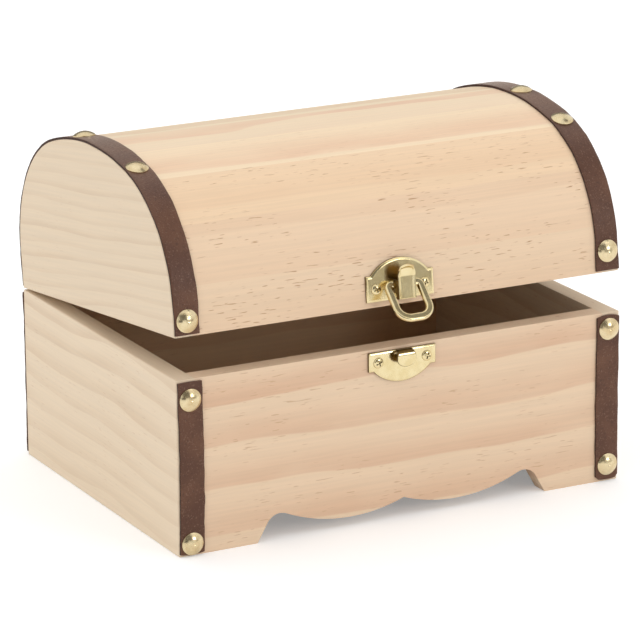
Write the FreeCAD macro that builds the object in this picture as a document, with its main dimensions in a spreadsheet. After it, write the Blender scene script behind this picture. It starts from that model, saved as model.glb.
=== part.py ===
import FreeCAD, Part
import math
import os
import Sketcher

# Small wooden treasure chest with a rounded lid, strapped corners and a draw catch.
# Millimetres. Origin at the middle of the lower back edge on the floor, front towards -Y, +Z up.

V = FreeCAD.Vector
doc = FreeCAD.newDocument("treasure_chest")
sheet = doc.addObject("Spreadsheet::Sheet", "sizes")

lengths = {
    # box boards
    "chest_width": 200.0,
    "chest_depth": 146.0,
    "base_height": 72.0,
    "board_thick": 8.0,
    "arris_radius": 0.6,
    "bottom_thick": 3.0,
    "bottom_above_crest": 4.0,
    "groove_depth": 3.0,
    "bottom_clear": 0.1,
    # scalloped edge of the front board
    "lobe_reach": 24.0,
    "lobe_low": 4.2,
    "crest_run": 31.5,
    "crest_height": 11.0,
    "crest_radius": 6.5,
    "foot_run": 10.1,
    # rounded lid
    "seam_gap": 0.5,
    "lid_front_flank": 11.0,
    "lid_front_radius": 52.5,
    "lid_back_flank": 16.3,
    "lid_back_radius": 50.5,
    "lid_crown_radius": 125.0,
    "edge_stave_width": 19.15,
    # straps
    "strap_width": 11.0,
    "strap_thick": 1.0,
    "strap_end_gap": 0.8,
    # domed nails
    "nail_head_radius": 4.6,
    "nail_head_rim": 0.4,
    "nail_head_height": 2.1,
    "nail_shank_radius": 0.8,
    "nail_shank_length": 11.0,
    "nail_point": 2.0,
    # places of the nails on the left and right straps
    "left_nail_from_rim": 8.1,
    "left_nail_from_floor": 5.2,
    "left_nail_from_seam": 6.3,
    "left_shoulder_pitch": 39.7,
    "left_crown_shift": 9.8,
    "right_nail_from_rim": 6.7,
    "right_nail_from_floor": 7.4,
    "right_nail_from_seam": 8.8,
    "right_shoulder_pitch": 45.8,
    "right_crown_shift": 12.5,
    "back_shoulder_pitch": 60.0,
    # plate screws
    "screw_head_radius": 2.2,
    "screw_head_height": 0.9,
    "screw_shank_radius": 1.0,
    "screw_length": 6.4,
    "screw_point": 1.5,
    # butt hinges
    "hinge_reach": 52.0,
    "hinge_width": 22.0,
    "leaf_height": 12.0,
    "leaf_thick": 0.9,
    "barrel_radius": 1.8,
    "barrel_gap": 0.3,
    "knuckle_length": 6.6,
    "knuckle_gap": 0.3,
    "hinge_pin_radius": 0.9,
    "hinge_screw_margin": 4.4,
    # catch plates
    "latch_shift": -1.1,
    "plate_width": 30.2,
    "plate_thick": 1.2,
    "plate_bevel": 0.5,
    "plate_arch_width": 25.6,
    "plate_screw_inset": 4.2,
    "latch_plate_low": 2.3,
    "latch_ear_height": 10.5,
    "latch_arch_rise": 6.1,
    "latch_screw_rise": 5.1,
    "lug_thick": 0.8,
    "lug_clear": 0.3,
    "lug_radius": 1.15,
    # thumb lever and its rivet
    "lever_pivot_rise": 2.1,
    "lever_pivot_stand": 3.0,
    "lever_width": 7.6,
    "lever_sheet": 0.8,
    "lever_web_stand": 2.2,
    "lever_heel": 1.4,
    "lever_blade": 7.8,
    "lever_tip_length": 4.5,
    "lever_flare": 1.4,
    "lever_cheek_clear": 0.6,
    "lever_cheek_rise": 6.2,
    "lever_tip_radius": 3.6,
    "lever_pin_radius": 0.6,
    "lever_pin_head_radius": 1.1,
    "lever_pin_head": 0.4,
    # wire bail
    "bail_pivot_rise": 4.2,
    "bail_pivot_setback": 0.6,
    "bail_wire_radius": 1.15,
    "bail_half_width": 7.25,
    "bail_length": 15.6,
    "bail_elbow_radius": 1.8,
    "bail_corner_radius": 5.2,
    # hook plate
    "hook_plate_drop": 1.1,
    "hook_ear_height": 7.9,
    "hook_arch_rise": 5.5,
    "hook_screw_drop": 4.3,
    "hook_width": 8.5,
    "hook_sheet": 0.8,
    "hook_clear": 0.3,
    "hook_bend_drop": 1.9,
    "hook_length": 4.5,
    "hook_tip_radius": 3.4,
    # fits
    "shank_clear": 0.02,
    "running_clear": 0.05,
    "overrun": 20.0,
}
angles = {
    "lid_open_angle": 6.35,
    "bail_swing_angle": 40.0,
}
counts = {
    "stave_count": 10,
}

for row, (alias, value) in enumerate({**lengths, **angles, **counts}.items(), start=1):
    sheet.set("A%d" % row, alias)
    sheet.set("B%d" % row, repr(value))
    sheet.setAlias("B%d" % row, alias)
doc.recompute()


class Sizes:
    """The sheet's values, for outlines that are worked out."""


S = Sizes()
for alias in {**lengths, **angles, **counts}:
    setattr(S, alias, float(sheet.get(alias)))


# Helpers for bodies and sketches
def new_body(label):
    body = doc.addObject("PartDesign::Body", label)
    body.Label = label
    return body


def new_sketch(body, role, name, offset=None):
    """A sketch on one of the body's own origin planes, moved along its normal by an expression."""
    sketch = body.newObject("Sketcher::SketchObject", name)
    plane = [f for f in body.Origin.OriginFeatures if f.Role == role][0]
    sketch.AttachmentSupport = [(plane, "")]
    sketch.MapMode = "FlatFace"
    if offset:
        sketch.setExpression("AttachmentOffset.Base.z", offset)
    return sketch


def bind(sketch, constraint, expression):
    index = sketch.addConstraint(constraint)
    sketch.setExpression("Constraints[%d]" % index, expression)


def amount(expression):
    return float(sheet.evalExpression(expression.replace("sizes.", "")))


def rectangle(sketch, left, right, low, high):
    x0, x1, y0, y1 = [amount(side) for side in (left, right, low, high)]
    first = sketch.GeometryCount
    corners = [V(x0, y0, 0), V(x1, y0, 0), V(x1, y1, 0), V(x0, y1, 0)]
    for i in range(4):
        sketch.addGeometry(Part.LineSegment(corners[i], corners[(i + 1) % 4]))
    for i in range(4):
        sketch.addConstraint(Sketcher.Constraint("Coincident", first + i, 2, first + (i + 1) % 4, 1))
    for i, kind in enumerate(("Horizontal", "Vertical", "Horizontal", "Vertical")):
        sketch.addConstraint(Sketcher.Constraint(kind, first + i))
    bind(sketch, Sketcher.Constraint("DistanceX", -1, 1, first, 1, x0), left)
    bind(sketch, Sketcher.Constraint("DistanceY", -1, 1, first, 1, y0), low)
    bind(sketch, Sketcher.Constraint("DistanceX", -1, 1, first + 1, 2, x1), right)
    bind(sketch, Sketcher.Constraint("DistanceY", -1, 1, first + 1, 2, y1), high)


def circle(sketch, across, up, radius):
    centre = V(amount(across), amount(up), 0)
    index = sketch.addGeometry(Part.Circle(centre, V(0, 0, 1), amount(radius)))
    bind(sketch, Sketcher.Constraint("DistanceX", -1, 1, index, 3, centre.x), across)
    bind(sketch, Sketcher.Constraint("DistanceY", -1, 1, index, 3, centre.y), up)
    bind(sketch, Sketcher.Constraint("Radius", index, amount(radius)), radius)


def draw(sketch, curves):
    for curve in curves:
        sketch.addGeometry(curve)


def line(start, end):
    return Part.LineSegment(V(*start, 0), V(*end, 0))


def arc(start, middle, end):
    return Part.Arc(V(*start, 0), V(*middle, 0), V(*end, 0))


def polygon(points):
    return [line(points[i], points[(i + 1) % len(points)]) for i in range(len(points))]


def pad(body, sketch, length, reversed_side=False):
    feature = body.newObject("PartDesign::Pad", sketch.Name + "_pad")
    feature.Profile = sketch
    feature.setExpression("Length", length)
    feature.Reversed = reversed_side
    sketch.Visibility = False
    doc.recompute()
    return feature


def pocket(body, sketch, length, reversed_side=False):
    """A cut that has to take material away, or else the build stops."""
    before = body.Shape.Volume
    feature = body.newObject("PartDesign::Pocket", sketch.Name + "_cut")
    feature.Profile = sketch
    feature.setExpression("Length", length)
    feature.Reversed = reversed_side
    sketch.Visibility = False
    doc.recompute()
    if not body.Shape.Volume < before:
        raise RuntimeError("the cut %s takes nothing away" % feature.Name)
    return feature


def revolve(body, sketch):
    feature = body.newObject("PartDesign::Revolution", sketch.Name + "_turned")
    feature.Profile = sketch
    feature.ReferenceAxis = (sketch, ["V_Axis"])
    sketch.Visibility = False
    doc.recompute()
    return feature


def edge_names(shape, wanted):
    return ["Edge%d" % (i + 1) for i, edge in enumerate(shape.Edges) if wanted(edge)]


def dress(body, kind, size_name, size, wanted):
    """A fillet or chamfer on the edges that a test picks out."""
    base = body.Tip
    feature = body.newObject("PartDesign::" + kind, body.Name + "_" + kind.lower())
    feature.Base = (base, edge_names(base.Shape, wanted))
    feature.setExpression(size_name, size)
    doc.recompute()
    return feature


def turned(angle, axis, place):
    return FreeCAD.Placement(place, FreeCAD.Rotation(axis, angle))


def group(label, shapes):
    """Like fasteners as one node of separate solids."""
    feature = doc.addObject("Part::Feature", label)
    feature.Label = label
    feature.Shape = Part.makeCompound(shapes)
    feature.Placement = FreeCAD.Placement()
    return feature


def placed(shape, placement):
    copy = shape.copy()
    copy.Placement = placement
    return copy


near = Part.Precision.confusion() * 10
bend_share = 1 - math.sqrt(0.5)
half_width = S.chest_width / 2
front_y = -S.chest_depth
back_y = 0
middle_y = front_y / 2


def touches(edge, direction, distance):
    """True where every end of an edge and its middle lie on a plane."""
    points = [vertex.Point for vertex in edge.Vertexes] + [edge.CenterOfMass]
    return all(abs(point.dot(direction) - distance) < near for point in points)


# Walls of the box: each has its outer face on the local plane y = 0, its thickness towards +Y
def scallop():
    """Lower edge of the front board from its right end to its left, as curves."""
    rise = S.lobe_low - S.crest_height + S.crest_radius
    lobe_radius = (S.crest_run ** 2 + rise ** 2 - S.crest_radius ** 2) / (2 * (S.crest_radius - rise))
    lobe_centre = V(S.lobe_reach, S.lobe_low + lobe_radius, 0)
    crest_reach = S.lobe_reach + S.crest_run
    crest_centre = V(crest_reach, S.crest_height - S.crest_radius, 0)
    cusp = (0, lobe_centre.y - math.sqrt(lobe_radius ** 2 - S.lobe_reach ** 2))
    lobe_bottom = (S.lobe_reach, S.lobe_low)
    towards = (lobe_centre - crest_centre).normalize()
    swap = crest_centre + towards * S.crest_radius
    foot = V(crest_reach + S.foot_run, 0, 0)
    away = foot - crest_centre
    lean = math.atan2(away.y, away.x) + math.acos(S.crest_radius / away.Length)
    leave = crest_centre + V(math.cos(lean), math.sin(lean), 0) * S.crest_radius
    half = [
        line((half_width - S.board_thick, 0), (foot.x, 0)),
        line((foot.x, 0), (leave.x, leave.y)),
        arc((leave.x, leave.y), (crest_reach, S.crest_height), (swap.x, swap.y)),
        arc((swap.x, swap.y), lobe_bottom, cusp),
    ]
    other = []
    for curve in half:
        flipped = curve.copy()
        flipped.mirror(V(0, 0, 0), V(0, 1, 0))
        other.append(flipped)
    return half + other


def wall(label, half_length, lower_edge=None):
    body = new_body(label)
    outline = new_sketch(body, "XZ_Plane", label + "_outline")
    if lower_edge:
        end = half_width - S.board_thick
        draw(outline, lower_edge)
        draw(outline, [
            line((end, 0), (end, S.base_height)),
            line((end, S.base_height), (-end, S.base_height)),
            line((-end, S.base_height), (-end, 0)),
        ])
    else:
        rectangle(outline, "-(" + half_length + ")", half_length, "0", "sizes.base_height")
    pad(body, outline, "sizes.board_thick", reversed_side=True)
    return body


bottom_level = "sizes.crest_height + sizes.bottom_above_crest"


def bottom_groove(body, label, half_length):
    groove = new_sketch(body, "XZ_Plane", label + "_groove", "-sizes.board_thick")
    rectangle(groove, "-(" + half_length + ")", half_length, bottom_level,
              bottom_level + " + sizes.bottom_thick + 2 * sizes.bottom_clear")
    pocket(body, groove, "sizes.groove_depth", reversed_side=True)


def face_holes(body, label, spots):
    """Pilot holes for plate screws, sunk from the outer face."""
    holes = new_sketch(body, "XZ_Plane", label + "_pilots")
    for across, up in spots:
        circle(holes, across, up, "sizes.screw_shank_radius + sizes.shank_clear")
    pocket(body, holes, "sizes.screw_length")


inner_half = "sizes.chest_width / 2 - sizes.board_thick"
side_half = "sizes.chest_depth / 2"
groove_half = "sizes.chest_depth / 2 - sizes.board_thick + sizes.groove_depth"
hinge_screw_half = "(sizes.hinge_width / 2 - sizes.hinge_screw_margin)"
hinge_screw_rise = "(sizes.leaf_height - sizes.hinge_screw_margin)"
plate_screw_reach = "(sizes.plate_width / 2 - sizes.plate_screw_inset)"
hinge_spots = [
    ("%s * sizes.hinge_reach + %s * %s" % (side, step, hinge_screw_half),
     "sizes.base_height + sizes.seam_gap / 2 - " + hinge_screw_rise)
    for side in ("-1", "1") for step in ("-1", "1")]
hook_spots = [
    ("sizes.latch_shift + %s * %s" % (side, plate_screw_reach),
     "sizes.base_height - sizes.hook_plate_drop - sizes.hook_screw_drop")
    for side in ("-1", "1")]

front_panel = wall("front_panel", inner_half, scallop())
bottom_groove(front_panel, "front_panel", inner_half)
face_holes(front_panel, "front_panel", hook_spots)
front_panel.Placement = turned(0, V(0, 0, 1), V(0, front_y, 0))

back_panel = wall("back_panel", inner_half)
bottom_groove(back_panel, "back_panel", inner_half)
face_holes(back_panel, "back_panel", hinge_spots)
back_panel.Placement = turned(180, V(0, 0, 1), V(0, back_y, 0))


def strap_size(side, name):
    """A size of the left or right straps."""
    return "sizes.%s_%s" % ("left" if side < 0 else "right", name)


def box_nail_heights(side):
    """Heights of the two nails on a corner strap."""
    return strap_size(side, "nail_from_floor"), "sizes.base_height - " + strap_size(side, "nail_from_rim")


def end_wall(label, side):
    """An end board of the box, with a nail hole in each end of its grain, low and high."""
    body = wall(label, side_half)
    bottom_groove(body, label, groove_half)
    dress(body, "Fillet", "Radius", "sizes.arris_radius", lambda edge: touches(edge, V(0, 1, 0), 0))
    for end, name in ((1, "near"), (-1, "far")):
        bores = new_sketch(body, "YZ_Plane", "%s_%s_nails" % (label, name),
                           "%d * sizes.chest_depth / 2" % end)
        for up in box_nail_heights(side):
            circle(bores, "sizes.strap_width / 2", up, "sizes.nail_shank_radius + sizes.shank_clear")
        pocket(body, bores, "sizes.nail_shank_length - sizes.strap_thick", reversed_side=end < 0)
    return body


left_side = end_wall("left_side", -1)
left_side.Placement = turned(-90, V(0, 0, 1), V(-half_width, middle_y, 0))
right_side = end_wall("right_side", 1)
right_side.Placement = turned(90, V(0, 0, 1), V(half_width, middle_y, 0))

# Thin bottom, let into the grooves of the four walls
bottom_panel = new_body("bottom_panel")
bottom_outline = new_sketch(bottom_panel, "XY_Plane", "bottom_outline")
bottom_x = "sizes.chest_width / 2 - sizes.board_thick + sizes.groove_depth - sizes.bottom_clear"
bottom_y = "sizes.chest_depth / 2 - sizes.board_thick + sizes.groove_depth - sizes.bottom_clear"
rectangle(bottom_outline, "-(" + bottom_x + ")", bottom_x, "-(" + bottom_y + ")", bottom_y)
pad(bottom_panel, bottom_outline, "sizes.bottom_thick")
bottom_panel.Placement = turned(0, V(0, 0, 1), V(0, middle_y, amount(bottom_level)))

# Hinge line and the lid's own frame, which has its origin on that line
hinge_out = S.barrel_radius + S.barrel_gap
hinge_y = back_y + hinge_out
hinge_z = S.base_height + S.seam_gap / 2
lid_place = turned(-S.lid_open_angle, V(1, 0, 0), V(0, hinge_y, hinge_z))
lid_low = S.seam_gap / 2
lid_front = front_y - hinge_y
lid_back = back_y - hinge_y


def on_lid(x, y, z, angle=0):
    return lid_place.multiply(turned(angle, V(1, 0, 0), V(x, y, z)))


# Rounded lid section: front flank, front shoulder, crown, back shoulder, back flank
front_centre = V(lid_front + S.lid_front_radius, lid_low + S.lid_front_flank, 0)
back_centre = V(lid_back - S.lid_back_radius, lid_low + S.lid_back_flank, 0)


def crown_middle():
    """Centre of the crown arc, which is tangent to both shoulder arcs."""
    span = back_centre - front_centre
    to_front = S.lid_crown_radius - S.lid_front_radius
    to_back = S.lid_crown_radius - S.lid_back_radius
    along = (to_front ** 2 - to_back ** 2 + span.Length ** 2) / (2 * span.Length)
    drop = math.sqrt(to_front ** 2 - along ** 2)
    unit = V(span).normalize()
    return front_centre + unit * along + V(unit.y, -unit.x, 0) * drop


crown_centre = crown_middle()
front_turn = math.atan2(front_centre.y - crown_centre.y, front_centre.x - crown_centre.x)
back_turn = math.atan2(back_centre.y - crown_centre.y, back_centre.x - crown_centre.x)
lid_arcs = [
    (front_centre, S.lid_front_radius, math.pi, front_turn),
    (crown_centre, S.lid_crown_radius, front_turn, back_turn),
    (back_centre, S.lid_back_radius, back_turn, 0),
]
arc_lengths = [radius * (start - end) for _, radius, start, end in lid_arcs]
lid_girth = S.lid_front_flank + sum(arc_lengths) + S.lid_back_flank


def lid_spot(travel, out=0):
    """Point of the section at a distance along it from the front seam, and the outward direction."""
    left = travel - S.lid_front_flank
    if left <= 0:
        return V(lid_front - out, lid_low + travel, 0), V(-1, 0, 0)
    for (centre, radius, start, _), length in zip(lid_arcs, arc_lengths):
        if left <= length:
            turn = start - left / radius
            outward = V(math.cos(turn), math.sin(turn), 0)
            return centre + outward * (radius + out), outward
        left -= length
    return V(lid_back + out, lid_low + S.lid_back_flank - left, 0), V(1, 0, 0)


def lid_curves(begin, finish, out=0):
    """Curves of the section from one distance along it to another, offset outwards."""
    marks = [0, S.lid_front_flank]
    for length in arc_lengths:
        marks.append(marks[-1] + length)
    marks.append(lid_girth)
    curves = []
    for start, end in zip(marks[:-1], marks[1:]):
        low, high = max(start, begin), min(end, finish)
        if high - low > near:
            a, b, c = [lid_spot(s, out)[0] for s in (low, (low + high) / 2, high)]
            straight = (b - a).cross(c - a).Length < near
            curves.append(line(a[:2], c[:2]) if straight else arc(a[:2], b[:2], c[:2]))
    return curves


# Nails: a low dome on a short rim, with a pointed shank
nail = new_body("domed_nail")
nail_outline = new_sketch(nail, "XZ_Plane", "nail_outline")
dome = S.nail_head_height - S.nail_head_rim
dome_radius = (S.nail_head_radius ** 2 + dome ** 2) / (2 * dome)
dome_half = math.asin(S.nail_head_radius / dome_radius) / 2
dome_middle = (dome_radius * math.sin(dome_half),
               S.nail_head_height - dome_radius * (1 - math.cos(dome_half)))
draw(nail_outline, [
    line((0, -S.nail_shank_length), (S.nail_shank_radius, S.nail_point - S.nail_shank_length)),
    line((S.nail_shank_radius, S.nail_point - S.nail_shank_length), (S.nail_shank_radius, 0)),
    line((S.nail_shank_radius, 0), (S.nail_head_radius, 0)),
    line((S.nail_head_radius, 0), (S.nail_head_radius, S.nail_head_rim)),
    arc((S.nail_head_radius, S.nail_head_rim), dome_middle, (0, S.nail_head_height)),
    line((0, S.nail_head_height), (0, -S.nail_shank_length)),
])
revolve(nail, nail_outline)

nail_x = half_width - S.strap_width / 2
middle_girth = lid_girth / 2


def lid_nail_spots(side):
    """Distances round the lid of the nails on a strap; the crown nail sits off the middle."""
    seam = amount(strap_size(side, "nail_from_seam"))
    pitch = amount(strap_size(side, "shoulder_pitch"))
    shift = amount(strap_size(side, "crown_shift"))
    front = [seam, middle_girth - pitch, middle_girth - side * shift]
    return front + [middle_girth + S.back_shoulder_pitch, lid_girth - seam]


def lid_nail_place(x, travel):
    spot, outward = lid_spot(travel, S.strap_thick)
    tilt = math.degrees(math.atan2(-outward.x, outward.y))
    return turned(tilt, V(1, 0, 0), V(x, spot.x, spot.y))


def lid_nail_bores(side):
    """Round bores for the shanks, as a cutting tool in the lid's frame."""
    bores = []
    for travel in lid_nail_spots(side):
        bore = Part.makeCylinder(S.nail_shank_radius + S.shank_clear, S.nail_shank_length + S.overrun,
                                 V(0, 0, -S.nail_shank_length))
        bores.append(placed(bore, lid_nail_place(side * nail_x, travel)))
    return Part.makeCompound(bores)


def bored(label, body, side):
    """The body with the nail bores taken out of it, in its place on the lid."""
    tool = doc.addObject("Part::Feature", label + "_bores")
    tool.Shape = lid_nail_bores(side)
    tool.Placement = FreeCAD.Placement()
    cut = doc.addObject("Part::Cut", label)
    cut.Label = label
    cut.Base = body
    cut.Tool = tool
    doc.recompute()
    cut.Placement = lid_place
    return cut


# End boards of the lid: the full rounded section
def lid_end(label, side):
    body = new_body(label + "_board")
    outer = side * half_width
    section = new_sketch(body, "YZ_Plane", label + "_section", "%d * sizes.chest_width / 2" % side)
    draw(section, lid_curves(0, lid_girth))
    draw(section, [line((lid_back, lid_low), (lid_front, lid_low))])
    pad(body, section, "sizes.board_thick", reversed_side=side > 0)
    dress(body, "Fillet", "Radius", "sizes.arris_radius", lambda edge: touches(edge, V(1, 0, 0), outer))
    return bored(label, body, side)


lid_left_end = lid_end("lid_left_end", -1)
lid_right_end = lid_end("lid_right_end", 1)

# Staves between the end boards: flat inside, rounded outside, joints square to the surface
inner_stave = (lid_girth - 2 * S.edge_stave_width) / (S.stave_count - 2)


def stave_mark(number):
    if number == 0:
        return 0
    if number == int(S.stave_count):
        return lid_girth
    return S.edge_stave_width + (number - 1) * inner_stave


staves = []
for number in range(int(S.stave_count)):
    label = "lid_stave_%02d" % (number + 1)
    begin, finish = stave_mark(number), stave_mark(number + 1)
    body = new_body(label)
    section = new_sketch(body, "YZ_Plane", label + "_section",
                         "-(sizes.chest_width / 2 - sizes.board_thick)")
    outer_start, outer_end = lid_spot(begin)[0], lid_spot(finish)[0]
    inner_start, inner_end = lid_spot(begin, -S.board_thick)[0], lid_spot(finish, -S.board_thick)[0]
    draw(section, lid_curves(begin, finish))
    draw(section, [
        line(outer_end[:2], inner_end[:2]),
        line(inner_end[:2], inner_start[:2]),
        line(inner_start[:2], outer_start[:2]),
    ])
    pad(body, section, "sizes.chest_width - 2 * sizes.board_thick")
    body.Placement = lid_place
    staves.append(body)


def stave_pilots(body, label, face, spots, from_back):
    """Pilot holes for the screws of the catch and the hinges, sunk from a flank of the lid."""
    holes = new_sketch(body, "XZ_Plane", label + "_pilots", face)
    for across, up in spots:
        circle(holes, across, up, "sizes.screw_shank_radius + sizes.shank_clear")
    pocket(body, holes, "sizes.screw_length", reversed_side=from_back)


stave_pilots(staves[0], "front_stave", "sizes.chest_depth + sizes.barrel_radius + sizes.barrel_gap",
             [("sizes.latch_shift + %d * %s" % (side, plate_screw_reach),
               "sizes.seam_gap / 2 + sizes.latch_plate_low + sizes.latch_screw_rise")
              for side in (-1, 1)], False)
stave_pilots(staves[-1], "back_stave", "sizes.barrel_radius + sizes.barrel_gap",
             [("%d * sizes.hinge_reach + %d * %s" % (side, step, hinge_screw_half), hinge_screw_rise)
              for side in (-1, 1) for step in (-1, 1)], True)


# Straps on the lid, from the front seam over the crown to the back seam
def lid_strap(label, side):
    body = new_body(label + "_strip")
    section = new_sketch(body, "YZ_Plane", label + "_section", "%d * sizes.chest_width / 2" % side)
    begin, finish = S.strap_end_gap, lid_girth - S.strap_end_gap
    draw(section, lid_curves(begin, finish))
    draw(section, lid_curves(begin, finish, S.strap_thick))
    for travel in (begin, finish):
        draw(section, [line(lid_spot(travel)[0][:2], lid_spot(travel, S.strap_thick)[0][:2])])
    pad(body, section, "sizes.strap_width", reversed_side=side > 0)
    return bored(label, body, side)


lid_strap_left = lid_strap("lid_strap_left", -1)
lid_strap_right = lid_strap("lid_strap_right", 1)


# Straps on the corners of the box, in the same local frame as the walls
def base_strap(label, side, angle, y):
    body = new_body(label)
    outline = new_sketch(body, "XZ_Plane", label + "_outline")
    half = "sizes.strap_width / 2"
    rectangle(outline, "-" + half, half, "sizes.strap_end_gap", "sizes.base_height - sizes.strap_end_gap")
    facing = 1 if angle == 0 else -1
    for up in box_nail_heights(side * facing):
        circle(outline, "0", up, "sizes.nail_shank_radius + sizes.shank_clear")
    pad(body, outline, "sizes.strap_thick")
    x = side * facing * (half_width - S.strap_width / 2)
    body.Placement = turned(angle, V(0, 0, 1), V(x, y, 0))
    return body


base_straps = [
    base_strap("base_strap_front_left", -1, 0, front_y),
    base_strap("base_strap_front_right", 1, 0, front_y),
    base_strap("base_strap_back_left", 1, 180, back_y),
    base_strap("base_strap_back_right", -1, 180, back_y),
]

base_nail_solids = []
for facing, face_y in ((-1, front_y), (1, back_y)):
    for side in (-1, 1):
        for up in box_nail_heights(side):
            spot = V(side * nail_x, face_y + facing * S.strap_thick, amount(up))
            base_nail_solids.append(placed(nail.Shape, turned(-90 * facing, V(1, 0, 0), spot)))
base_nails = group("base_nails", base_nail_solids)

lid_nails = group("lid_nails", [
    placed(nail.Shape, lid_place.multiply(lid_nail_place(side * nail_x, travel)))
    for side in (-1, 1) for travel in lid_nail_spots(side)])

# Plate screws: a low dome on a pointed shank, seated on the plate's face
screw = new_body("plate_screw")
screw_outline = new_sketch(screw, "XZ_Plane", "screw_outline")
cap_radius = (S.screw_head_radius ** 2 + S.screw_head_height ** 2) / (2 * S.screw_head_height)
cap_half = math.asin(S.screw_head_radius / cap_radius) / 2
cap_middle = (cap_radius * math.sin(cap_half), S.screw_head_height - cap_radius * (1 - math.cos(cap_half)))
draw(screw_outline, [
    line((0, -S.screw_length), (S.screw_shank_radius, S.screw_point - S.screw_length)),
    line((S.screw_shank_radius, S.screw_point - S.screw_length), (S.screw_shank_radius, 0)),
    line((S.screw_shank_radius, 0), (S.screw_head_radius, 0)),
    arc((S.screw_head_radius, 0), cap_middle, (0, S.screw_head_height)),
    line((0, S.screw_head_height), (0, -S.screw_length)),
])
revolve(screw, screw_outline)


def screws(label, places):
    return group(label, [placed(screw.Shape, place) for place in places])


# Butt hinges on the back: two outer knuckles on the box leaf, one middle knuckle on the lid leaf
def hinge_leaf(label, own_knuckles, upward):
    body = new_body(label)
    sign = "1" if upward else "-1"
    wood = "sizes.barrel_radius + sizes.barrel_gap"
    plate = new_sketch(body, "XZ_Plane", label + "_plate", wood)
    clear = "(sizes.barrel_radius + 2 * sizes.barrel_gap)"
    lower = clear if upward else "-sizes.leaf_height"
    upper = "sizes.leaf_height" if upward else "-" + clear
    rectangle(plate, "-sizes.hinge_width / 2", "sizes.hinge_width / 2", lower, upper)
    for step in ("-1", "1"):
        circle(plate, step + " * " + hinge_screw_half, sign + " * " + hinge_screw_rise,
               "sizes.screw_shank_radius + sizes.shank_clear")
    pad(body, plate, "sizes.leaf_thick", reversed_side=True)
    for number, (start, end) in enumerate(own_knuckles):
        tab = new_sketch(body, "XZ_Plane", "%s_tab_%d" % (label, number), wood)
        tab_low, tab_high = ("0", clear) if upward else ("-" + clear, "0")
        rectangle(tab, start, end, tab_low, tab_high)
        pad(body, tab, "sizes.leaf_thick", reversed_side=True)
        barrel = new_sketch(body, "YZ_Plane", "%s_barrel_%d" % (label, number), start)
        circle(barrel, "0", "0", "sizes.barrel_radius")
        pad(body, barrel, "(" + end + ") - (" + start + ")")
    bore = new_sketch(body, "YZ_Plane", label + "_bore", "-sizes.hinge_width / 2 - sizes.overrun")
    fit = "sizes.running_clear" if upward else "sizes.shank_clear"
    circle(bore, "0", "0", "sizes.hinge_pin_radius + " + fit)
    pocket(body, bore, "sizes.hinge_width + 2 * sizes.overrun", reversed_side=True)
    return body


middle_half = "sizes.knuckle_length / 2"
outer_start = "sizes.knuckle_length / 2 + sizes.knuckle_gap"
hinge_half = "sizes.hinge_width / 2"
lid_knuckles = [("-" + middle_half, middle_half)]
base_knuckles = [("-" + hinge_half, "-(" + outer_start + ")"), (outer_start, hinge_half)]

hinge_pieces = []
base_screw_places = []
lid_screw_places = []
for side, name in ((-1, "left"), (1, "right")):
    x = side * S.hinge_reach
    base_leaf = hinge_leaf("hinge_%s_base_leaf" % name, base_knuckles, False)
    base_leaf.Placement = turned(0, V(1, 0, 0), V(x, hinge_y, hinge_z))
    lid_leaf = hinge_leaf("hinge_%s_lid_leaf" % name, lid_knuckles, True)
    lid_leaf.Placement = on_lid(x, 0, 0)
    pin = doc.addObject("Part::Cylinder", "hinge_%s_pin" % name)
    pin.Label = "hinge_%s_pin" % name
    pin.setExpression("Radius", "sizes.hinge_pin_radius")
    pin.setExpression("Height", "sizes.hinge_width")
    pin.Placement = turned(90, V(0, 1, 0), V(x - S.hinge_width / 2, hinge_y, hinge_z))
    hinge_pieces += [base_leaf, lid_leaf, pin]
    leaf_face = S.leaf_thick - hinge_out
    for step in (-1, 1):
        across = x + step * amount(hinge_screw_half)
        base_spot = V(across, hinge_y + leaf_face, hinge_z - amount(hinge_screw_rise))
        base_screw_places.append(turned(-90, V(1, 0, 0), base_spot))
        lid_screw_places.append(on_lid(across, leaf_face, amount(hinge_screw_rise), -90))
hinge_base_screws = screws("hinge_base_screws", base_screw_places)
hinge_lid_screws = screws("hinge_lid_screws", lid_screw_places)


# Catch plates: a bar with square ears and one edge swept into an arch
def plate_curves(flat, ear, top):
    half, arch = S.plate_width / 2, S.plate_arch_width / 2
    return [
        line((-half, ear), (-half, flat)),
        line((-half, flat), (half, flat)),
        line((half, flat), (half, ear)),
        line((half, ear), (arch, ear)),
        arc((arch, ear), (0, top), (-arch, ear)),
        line((-arch, ear), (-half, ear)),
    ]


def catch_plate(label, flat, ear, top, screw_height):
    body = new_body(label)
    outline = new_sketch(body, "XZ_Plane", label + "_outline")
    draw(outline, plate_curves(flat, ear, top))
    pad(body, outline, "sizes.plate_thick")
    dress(body, "Chamfer", "Size", "sizes.plate_bevel",
          lambda edge: touches(edge, V(0, 1, 0), -S.plate_thick))
    holes = new_sketch(body, "XZ_Plane", label + "_holes")
    for side in ("-1", "1"):
        circle(holes, side + " * " + plate_screw_reach, screw_height,
               "sizes.screw_shank_radius + sizes.shank_clear")
    pocket(body, holes, "sizes.plate_thick", reversed_side=True)
    return body


ear_top = S.latch_plate_low + S.latch_ear_height
latch_plate = catch_plate("latch_plate", S.latch_plate_low, ear_top, ear_top + S.latch_arch_rise,
                          "sizes.latch_plate_low + sizes.latch_screw_rise")

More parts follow.
